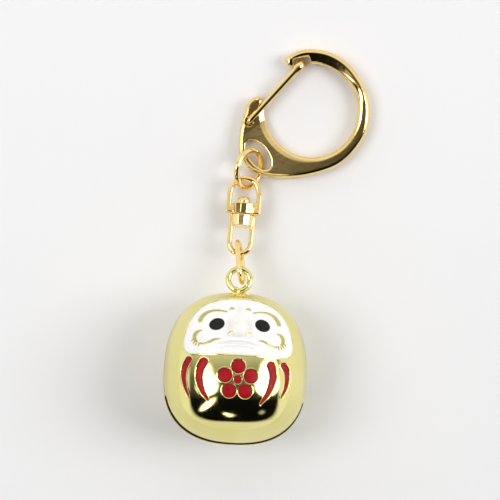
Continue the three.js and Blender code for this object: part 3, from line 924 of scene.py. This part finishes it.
for name, stroke in strokes.items():
    rows, u = stroke.plate()
    dome = -0.06 - 0.07 * np.abs(u) ** 3
    lift = np.broadcast_to(dome, rows.shape[:2])
    points, faces = rows_plate(rows, lift)
    # edge grows towards the stroke's sides, where painted shade darkens the red.
    edge = np.tile(np.tile(np.abs(u) ** 4, len(rows)), 2)
    piece("red_" + name, [(points, faces)], BELL, "bell", RED, ["stripe_" + name],
          {"edge": edge})

for name, (cx, cy, r) in DISCS.items():
    rim = oval_rim(cx, cy, r + OVERLAP, r + OVERLAP)
    points, faces, share = fan_plate(np.array([cx, cy]), rim, 12, disc_lift)
    # edge grows towards the disc's rim, where painted shade darkens the red.
    piece("red_" + name, [(points, faces)], BELL, "bell", RED, ["blossom_" + name],
          {"edge": share**6})


def raised_line(drawn, half, height, run):
    """A low rounded ridge that follows a line on the face."""
    count, across = 40, 10
    spine = curve_through(drawn, count)
    ahead = unit(np.gradient(spine, axis=0))
    place = np.linspace(0, 1, count)
    half_width = np.maximum(line_width(place, half, run), 0.05)
    taper = np.sqrt(np.clip(1 - np.abs(2 * place - 1) ** 8, 0.02, 1))
    u = np.linspace(-1, 1, across + 1)
    sideways = np.stack([-ahead[:, 1], ahead[:, 0]], axis=1)
    rows = spine[:, None] + sideways[:, None] * (u[None] * half_width[:, None])[..., None]
    dome = height * taper[:, None] * np.sqrt(np.clip(1 - u[None] ** 6, 0, 1))
    gap = -panel_distance(rows[..., 0], rows[..., 1])
    base = ENAMEL_TOP + face_relief(rows[..., 0], rows[..., 1]) * smoothstep(gap / RELIEF_FADE) - 0.02
    return rows_plate(rows, base + dome)


ridges = [raised_line(*line) for line in face_lines()]
# The raised lines are painted darker than the bell's gold: painted shade.
piece("face_ridges", ridges, BELL, "bell", SHADED_RIDGE_GOLD)

# ---- loop and ball ---------------------------------------------------------------------

LOOP_AT, LOOP_RADIUS, LOOP_WIRE = 18.4, 2.05, 0.55


def eye_pin():
    """One wire: up through the crown, round the loop and back across its own stem."""
    a = np.radians(np.linspace(-78, 262, 96))
    rise = 0.3 * smoothstep((np.arange(96) - 74) / 21)
    ring = np.stack([LOOP_RADIUS * np.cos(a), LOOP_AT + LOOP_RADIUS * np.sin(a), rise], axis=1)
    stem = curve_through([[0, 14.2, -0.15], [0, 15.2, -0.15], [0.05, 15.9, -0.12], ring[0]], 14)
    return tube(np.concatenate([stem[:-1], ring]), LOOP_WIRE, 24, crown=0.12)


def pin_head():
    """The flat head that holds the eye pin inside the crown."""
    return lathe([(0.3, 14.0), (1.6, 14.0), (1.75, 14.15), (1.75, 14.45), (1.6, 14.6), (0.3, 14.6)], 40)


piece("crown_loop", [eye_pin(), pin_head()], BELL, "bell", BELL_GOLD, ["bell_loop"])


def rolled_ball(radius, centre):
    """A ball with the flat belt and shallow dents of cheap tumbled shot."""
    n = 61
    r, angle = disc_grid(n)
    tilt = r * np.pi / 2
    x, y, z = np.sin(tilt) * np.cos(angle), np.sin(tilt) * np.sin(angle), np.cos(tilt)
    halves = [np.stack([x, y, z], axis=-1), np.stack([x, y, -z], axis=-1)]
    dents = [((0.3, 0.5, 0.8), 0.3), ((-0.7, 0.2, 0.6), 0.25), ((0.1, -0.8, -0.5), 0.35)]
    points = []
    for d in halves:
        size = np.full(d.shape[:2], radius) - 0.02 * np.exp(-((d[..., 2] / 0.06) ** 2))
        for aim, wide in dents:
            size = size - 0.03 * np.exp(-((1 - d @ unit(aim)) / wide**2 * 4))
        points.append((d * size[..., None]).reshape(-1, 3) + centre)
    grid = numbered(n, n)
    faces = grid_faces(grid)
    second = np.arange(n * n) + n * n
    second[border(grid)] = border(grid)
    faces += [tuple(int(second[i]) for i in face[::-1]) for face in grid_faces(grid)]
    used = np.unique(np.array(faces))
    renumber = np.full(2 * n * n, -1)
    renumber[used] = np.arange(len(used))
    return np.concatenate(points)[used], [tuple(int(renumber[i]) for i in f) for f in faces]


BALL_RADIUS, BALL_GAP = 3.0, 0.35
BALL_AT = (0, 0, -(HALF_DEPTH - WALL - BALL_GAP - BALL_RADIUS))
piece("jingle_ball", [rolled_ball(BALL_RADIUS, BALL_AT)],
      BELL, "ball", STEEL, ["rattle_ball"])

# ---- chain -----------------------------------------------------------------------------


def oval_link(length, width, wire):
    """A link bent from wire, with the fine gap where its ends meet on one long side."""
    end = width / 2 - wire
    stretch = (length - width) / 2
    half_gap = 0.012
    a = np.linspace(half_gap, 2 * np.pi - half_gap, 140)
    y = end * np.sin(a) + stretch * np.clip(np.sin(a) / 0.28, -1, 1)
    path = np.stack([end * np.cos(a), y, 0 * a], axis=1)
    return tube(path, wire, 22, crown=0.08)


LINK_LENGTH, LINK_WIDTH, LINK_WIRE = 9.27, 5.2, 0.475
piece("oval_link", [oval_link(LINK_LENGTH, LINK_WIDTH, LINK_WIRE)], LINK, "link", CHAIN_GOLD,
      ["lower_link"])

# The swivel, along its own axis from the middle of the arch's strap at 0 to its bow.
STIRRUP = {"half": 3.3, "strap": 1.0, "depth": 1.3, "foot": 6.9}
STIRRUP_PINCH = {"by": 0.4, "from": 3.3, "over": 2.4}
COLLAR_RADIUS, UPPER, LOWER = 2.05, (5.0, 6.95), (7.2, 9.3)
UPPER_TURNED, LOWER_TURNED = 17, 7
COLLAR_DRAFT = 0.12
BORE = {"radius": 0.85, "low": 4, "high": 8}
SOCKET = {"radius": 0.66, "end": 8.7}
BOW = {"half": 2.0, "wire": 0.52, "start": 7.45}


def collar_field(x, y, z, low, high, turned, rounding=0.12):
    """A twelve-sided collar round the swivel's axis, turned by an angle in degrees and slightly
    narrower towards the bow."""
    sector = math.pi / 6
    folded = np.mod(np.arctan2(z, x) - math.radians(turned), sector) - sector / 2
    reach = COLLAR_RADIUS * math.cos(sector / 2) - COLLAR_DRAFT * (y - (low + high) / 2)
    return slab(np.hypot(x, z) * np.cos(folded) - reach, y, low, high, rounding)


def stirrup_field(x, y, z):
    half, strap, depth, foot = (STIRRUP[k] for k in ("half", "strap", "depth", "foot"))
    top = -strap / 2

    def arch(inset, low):
        pinch = smoothstep((STIRRUP_PINCH["from"] - y) / STIRRUP_PINCH["over"])
        w = half - inset - STIRRUP_PINCH["by"] * pinch
        side = np.abs(x) - w
        return smooth_max(side, low - y, 2.9 - inset)

    outer = np.maximum(arch(0, top), y - foot)
    inner = np.maximum(arch(strap, strap / 2), y - UPPER[0] - 0.3)
    band = smooth_max(outer, -inner, 0.05)
    strap_field = slab(band, z, -depth / 2, depth / 2, 0.38)
    body = smooth_min(strap_field, collar_field(x, y, z, *UPPER, UPPER_TURNED), 0.15)
    bore = BORE["radius"] - np.hypot(x, z)
    return smooth_max(body, np.minimum(bore, np.minimum(y - BORE["low"], BORE["high"] - y)), 0.1)


def swivel_eye_field(x, y, z):
    half, wire, start = BOW["half"], BOW["wire"], BOW["start"]
    bottom = SWIVEL_LENGTH - half
    leg = np.hypot(np.hypot(np.abs(x) - half, z), np.maximum(start - y, 0)) - wire
    bow = np.hypot(np.hypot(x, y - bottom) - half, z) - wire
    bent = np.where(y < bottom, leg, bow)
    body = smooth_min(bent, collar_field(x, y, z, *LOWER, LOWER_TURNED), 0.2)
    socket = np.minimum(SOCKET["radius"] - np.hypot(x, z), SOCKET["end"] - y)
    return smooth_max(body, socket, 0.08)


FINE_STEP = 0.07
piece("stirrup", [skin(stirrup_field, (-3.6, -0.9, -2.5), (3.6, 7.3, 2.5), FINE_STEP)], SWIVEL,
      "swivel_upper", CHAIN_GOLD, ["swivel_stirrup"])
bow = skin(swivel_eye_field, (-2.9, 6.8, -2.5), (2.9, SWIVEL_LENGTH + 0.9, 2.5), FINE_STEP)
piece("swivel_bow", [bow], SWIVEL, "swivel_lower", CHAIN_GOLD, ["swivel_eye"])


def rivet():
    """The swivel's pin: a domed head, hammered slightly oval, and a straight shank."""
    head = [(0.02, 3.5), (0.45, 3.52), (0.85, 3.66), (1.1, 3.95), (1.2, 4.3), (1.2, 4.7), (1.12, 4.85),
            (0.62, 4.87)]
    shank = [(0.6, 4.95), (0.6, 8.5), (0.5, 8.6), (0.02, 8.6)]
    head_end = 4.9

    def squash(y, angle):
        return 1 + 0.05 * np.cos(2 * angle) if y < head_end else 1

    return lathe(head + shank, 36, squash)


piece("rivet", [rivet()], SWIVEL, "swivel_lower", CHAIN_GOLD, ["swivel_pin"])

RING_RADIUS, RING_WIRE = 3.6, 0.54
RING_STEP = 0.12
a = np.radians(np.linspace(-50, 308.5, 160))
climb = RING_STEP * (a - a.mean()) / np.pi
ring_path = np.stack([RING_RADIUS * np.cos(a), RING_RADIUS * np.sin(a), climb], axis=1)
piece("split_ring", [tube(ring_path, RING_WIRE, 24, crown=0.08)], RING, "ring", CHAIN_GOLD,
      ["jump_ring"])

# ---- clasp -----------------------------------------------------------------------------

THICK, OPENING, NOSE_INNER, NOSE_LIP = 3.2, 8.85, 10.05, 8.95
ARM_END = 2.65
EYELET = (-10.2, -8.5, 3.3, 1.75, -52.8)
PIVOT_HOLE = 0.66
TAB = {"x": -6.2, "y": -8.0, "relief": 1.36}
FLOOR = {"low": 2.0, "rise": 1.22, "dip": 0.26, "bevel": 1.15, "rim": 0.62}
outer_line = curve_through([
    [-6.6, 8.75], [-5.4, 9.6], [-2.3, 11.25], [0.5, 11.5], [3.6, 10.8], [6.4, 9.1], [8.7, 6.5],
    [10.4, 3.2], [10.92, -0.4], [10.4, -4.0], [8.4, -7.4], [5.0, -10.5], [-0.4, -12.4], [-5.5, -12.9],
    [-9.4, -12.5], [-12.2, -11.1], [-13.75, -8.4], [-13.7, -4.2], [-12.95, -1.2], [-12.2, 1.6],
    [-11.4, 4.6],
], 700)
outer_angle = np.unwrap(np.arctan2(outer_line[:, 1], outer_line[:, 0]))[::-1]
outer_reach = np.hypot(*outer_line.T)[::-1]
outer_slope = np.gradient(outer_reach, outer_angle)


def ellipse_gap(x, y, cx, cy, long, short, tilt):
    c, s = math.cos(math.radians(tilt)), math.sin(math.radians(tilt))
    u, v = (x - cx) * c + (y - cy) * s, (y - cy) * c - (x - cx) * s
    k = np.hypot(u / long, v / short)
    return k * (k - 1) / np.maximum(np.hypot(u / long**2, v / short**2), 1e-6)


def clasp_outlines(x, y):
    """Distances outside the clasp's outer outline and inside its opening."""
    r, angle = np.hypot(x, y), np.arctan2(y, x)
    angle = np.where(angle > math.radians(145), angle - 2 * np.pi, angle)
    reach, slope = (np.interp(angle, outer_angle, v) for v in (outer_reach, outer_slope))
    outer = (r - reach) / np.hypot(1, slope / reach)
    degrees = np.degrees(angle)
    edge = OPENING - 0.2 * np.cos(angle) - 0.1 * np.sin(angle)
    edge = edge + (NOSE_INNER - edge) * smoothstep((degrees - 91) / 3)
    edge = edge + (NOSE_LIP - edge) * smoothstep((degrees - 110.5) / 2.5)
    return outer, edge - r


def clasp_plan(outer, inner, x, y):
    """The flat outline: between the outer edge and the opening, cut by the mouth."""
    nose_end = 0.8 * (x + 4.8) + 0.6 * (y - 8.7)
    mouth = np.maximum(nose_end, ARM_END - y)
    return smooth_max(np.maximum(outer, inner), -mouth, np.where(y > 5, 0.7, 2.4))


def clasp_rounding(outer, inner, x, y):
    """How round the edges are: sharpest inside the nose, nearly a half round on the bar."""
    outer_round, bar_round = 0.95, 1.05
    inner_round = 1.1 - 0.65 * smoothstep((y - 3) / 4)
    share = smoothstep((inner - outer) / 0.8 + 0.5)
    rounding = outer_round + (inner_round - outer_round) * share
    return rounding + (bar_round - rounding) * smoothstep((x - 5) / 4)


def sunk_faces(outer, inner, x, y, z):
    """The recesses of the arm and the web on both faces. Their floors rise from the arm until
    they run out on the web, and are bevelled beside the opening."""
    rise = 0.6 * (x - PIVOT[0]) - 0.8 * (y - PIVOT[1]) - 1.5
    rise = np.clip((rise + np.maximum(x - 3, 0) * np.maximum(y + 6, 0)) / 13, 0, 1)
    bevel = np.clip(FLOOR["bevel"] + inner, 0, FLOOR["bevel"])
    floor = FLOOR["low"] + FLOOR["rise"] * rise - FLOOR["dip"] * (1 - rise) * bevel
    rim = np.maximum(smooth_max(outer, y - ARM_END, 2.4) + FLOOR["rim"], y - 4)
    return np.minimum(np.maximum(rim, floor - z), np.maximum(rim, z - THICK + floor))


def clasp_field(x, y, z):
    outer, inner = clasp_outlines(x, y)
    hollow = 0.24 * np.maximum(-outer - 0.7, 0) * smoothstep((y + 1) / 5)
    plan, rounding = clasp_plan(outer, inner, x, y), clasp_rounding(outer, inner, x, y)
    body = slab(plan, z, hollow, THICK - hollow, rounding)
    body = smooth_max(body, -ellipse_gap(x, y, *EYELET), 0.7)
    body = smooth_max(body, -sunk_faces(outer, inner, x, y, z), 0.3)
    body = smooth_max(body, PIVOT_HOLE - np.hypot(x - PIVOT[0], y - PIVOT[1]), 0.4)
    relief = np.maximum(np.maximum(x - TAB["x"], y - TAB["y"]), z - TAB["relief"])
    return smooth_max(body, -relief, 0.5)


piece("clasp_hook", [skin(clasp_field, (-14.4, -13.6, -0.3), (11.5, 12.2, 3.5), 0.11)], CLASP, "clasp",
      CLASP_GOLD, ["clasp_body"])


def gate_hairpin():
    """Spring wire doubled back on itself: a leg on each face of the arm, a broad flattened bend
    at the nose."""
    wire, low = 0.57, 0.6
    tip_spread, tip_length = 0.5, 2.2
    middle = THICK / 2
    bend = middle - low
    a = np.radians(np.linspace(-90, 90, 21))
    tip = np.stack([GATE_LENGTH - bend + bend * np.cos(a), 0 * a, middle + bend * np.sin(a)], 1)
    q = np.radians(np.linspace(0, 90, 9))
    knee = 0.5
    lower_knee = np.stack([knee - knee * np.cos(q), 0 * q, low + knee - knee * np.sin(q)], 1)
    run = np.linspace(0.7, GATE_LENGTH - bend - 0.2, 24)
    lower = np.stack([run, 0 * run, 0 * run + low], 1)
    half_path = np.concatenate([[[0, 0, middle - 0.2]], lower_knee, lower])
    upper = half_path[::-1] * (1, 1, -1) + (0, 0, THICK)
    points, faces = tube(np.concatenate([half_path, tip, upper]), wire, 22, crown=0.1)
    points[:, 1] *= 1 + tip_spread * smoothstep((points[:, 0] - GATE_LENGTH + tip_length) / 0.8)
    return points, faces


piece("gate_hairpin", [gate_hairpin()], GATE, "gate", CHAIN_GOLD, ["gate_wire"])

# ---- table, light and camera -----------------------------------------------------------


def white_table():
    n = Nodes("table")
    shade_y = n.node("ShaderNodeSeparateXYZ", Vector=n.coordinates).outputs["Y"]
    tone = n.mix(n.noise(6, 3), (0.90, 0.895, 0.915), (0.87, 0.865, 0.885))
    n.set(
        # Painted shade: the table is painted darker towards -Y, as if the light fell off across it.
        Base_Color=n.mix(n.spread(shade_y, 0.7, 0, -0.05, 0.04), tone, (0.80, 0.80, 0.81)),
        Roughness=0.55,
    )
    n.bumps((n.noise(2500, 4), 0.00001))
    return n.material


TABLE_HALF = 6.0
corners = [(-TABLE_HALF, -TABLE_HALF, 0), (TABLE_HALF, -TABLE_HALF, 0), (TABLE_HALF, TABLE_HALF, 0),
           (-TABLE_HALF, TABLE_HALF, 0)]
mesh = bpy.data.meshes.new("table")
mesh.from_pydata(corners, [], [(0, 1, 2, 3)])
mesh.materials.append(white_table())
table = bpy.data.objects.new("table", mesh)
bpy.context.scene.collection.objects.link(table)

# Soft lamps of the studio: the direction each one is in, its half width and height, its
# radiance, how soft its edge is and how far it is turned about +Z, in degrees.
LAMPS = [
    ((-0.57, 0.05, 0.82), (0.30, 0.23), 4.9, 0.2, 0),
    ((0.72, 0.05, 0.69), (0.32, 0.23), 6.3, 0.2, 0),
    ((-0.53, -0.45, 0.72), (0.30, 0.075), 3.5, 0.4, 48),
    ((-0.05, -0.74, 0.67), (0.07, 0.075), 2.0, 0.5, 0),
    ((-0.12, -0.70, 0.70), (0.05, 0.04), 3.0, 0.5, 0),
    ((0.55, -0.62, 0.56), (0.07, 0.07), 0.5, 0.6, 0),
]
# Greys of the ceiling from -Y to +Y, and of the band round the horizon from its middle to its ends.
CEILING = [
    (0.0, (0.002, 0.002, 0.002)), (0.36, (0.004, 0.004, 0.004)), (0.46, (0.07, 0.065, 0.055)),
    (0.59, (0.145, 0.14, 0.12)), (0.69, (0.74, 0.73, 0.69)), (0.8, (1.0, 0.99, 0.96)),
]
BAND = [(0.3, (0.86, 0.86, 0.86)), (0.9, (1.0, 1.0, 1.0))]
BAND_START, BAND_FULL, BAND_POWER = 0.885, 0.925, 2.6


class Studio(Tree):
    """A pale band round the horizon, a darker ceiling that is paler towards +Y, and soft lamps."""

    def __init__(self, world):
        world.use_nodes = True
        super().__init__(world.node_tree)
        self.tree.nodes.clear()
        self.direction = self.node("ShaderNodeTexCoord").outputs["Generated"]
        split = self.node("ShaderNodeSeparateXYZ", Vector=self.direction)
        self.x, self.y = split.outputs["X"], split.outputs["Y"]

    def ramp(self, value, stops):
        made = self.node("ShaderNodeValToRGB", Fac=value)
        points = made.color_ramp.elements
        while len(points) < len(stops):
            points.new(0.5)
        for point, (place, colour) in zip(points, stops):
            point.position = place
            point.color = (*colour, 1)
        return made.outputs["Color"]

    def reach(self, power):
        """How far the direction leans from +Z, 0 to 1, measured so that its contours are squarish."""
        raised = [
            self.maths("POWER", self.maths("MULTIPLY", part, part), power / 2) for part in (self.x, self.y)
        ]
        return self.maths("POWER", self.maths("ADD", *raised), 1 / power)

    def lamp(self, light, aim, size, radiance, soft, heading):
        """light with one soft-edged oval lamp added to it."""
        placed = self.node(
            "ShaderNodeMapping", Vector=self.direction, Location=unit(aim),
            Rotation=(0, 0, math.radians(heading)), Scale=(size[0], size[1], size[0]),
        )
        placed.vector_type = "TEXTURE"
        length = self.node("ShaderNodeVectorMath")
        length.operation = "LENGTH"
        self.feed(length.inputs[0], placed.outputs["Vector"])
        glow = self.spread(length.outputs["Value"], radiance, 0, 1 - soft, 1 + soft, smooth=True)
        return self.mix(1, light, glow, "ADD")

    def light(self):
        ceiling = self.ramp(self.spread(self.y, 0, 1, -1, 1), CEILING)
        band = self.ramp(self.maths("ABSOLUTE", self.x), BAND)
        edge = self.spread(self.reach(BAND_POWER), 0, 1, BAND_START, BAND_FULL, smooth=True)
        light = self.mix(edge, ceiling, band)
        for lamp in LAMPS:
            light = self.lamp(light, *lamp)
        background = self.node("ShaderNodeBackground", Color=light)
        self.node("ShaderNodeOutputWorld", Surface=background.outputs[0])


studio = bpy.data.worlds.new("studio")
bpy.context.scene.world = studio
Studio(studio).light()

CAMERA_HEIGHT, FIELD, SENSOR = 0.6, 0.095, 36
camera = bpy.data.cameras.new("camera")
camera.sensor_width = SENSOR
camera.lens = SENSOR * CAMERA_HEIGHT / FIELD
camera.clip_start, camera.clip_end = 0.01, 10
viewer = bpy.data.objects.new("camera", camera)
viewer.location = (SHIFT[0] * MM, SHIFT[1] * MM, CAMERA_HEIGHT)
bpy.context.scene.collection.objects.link(viewer)
bpy.context.scene.camera = viewer
bpy.context.scene.view_settings.view_transform = "Standard"
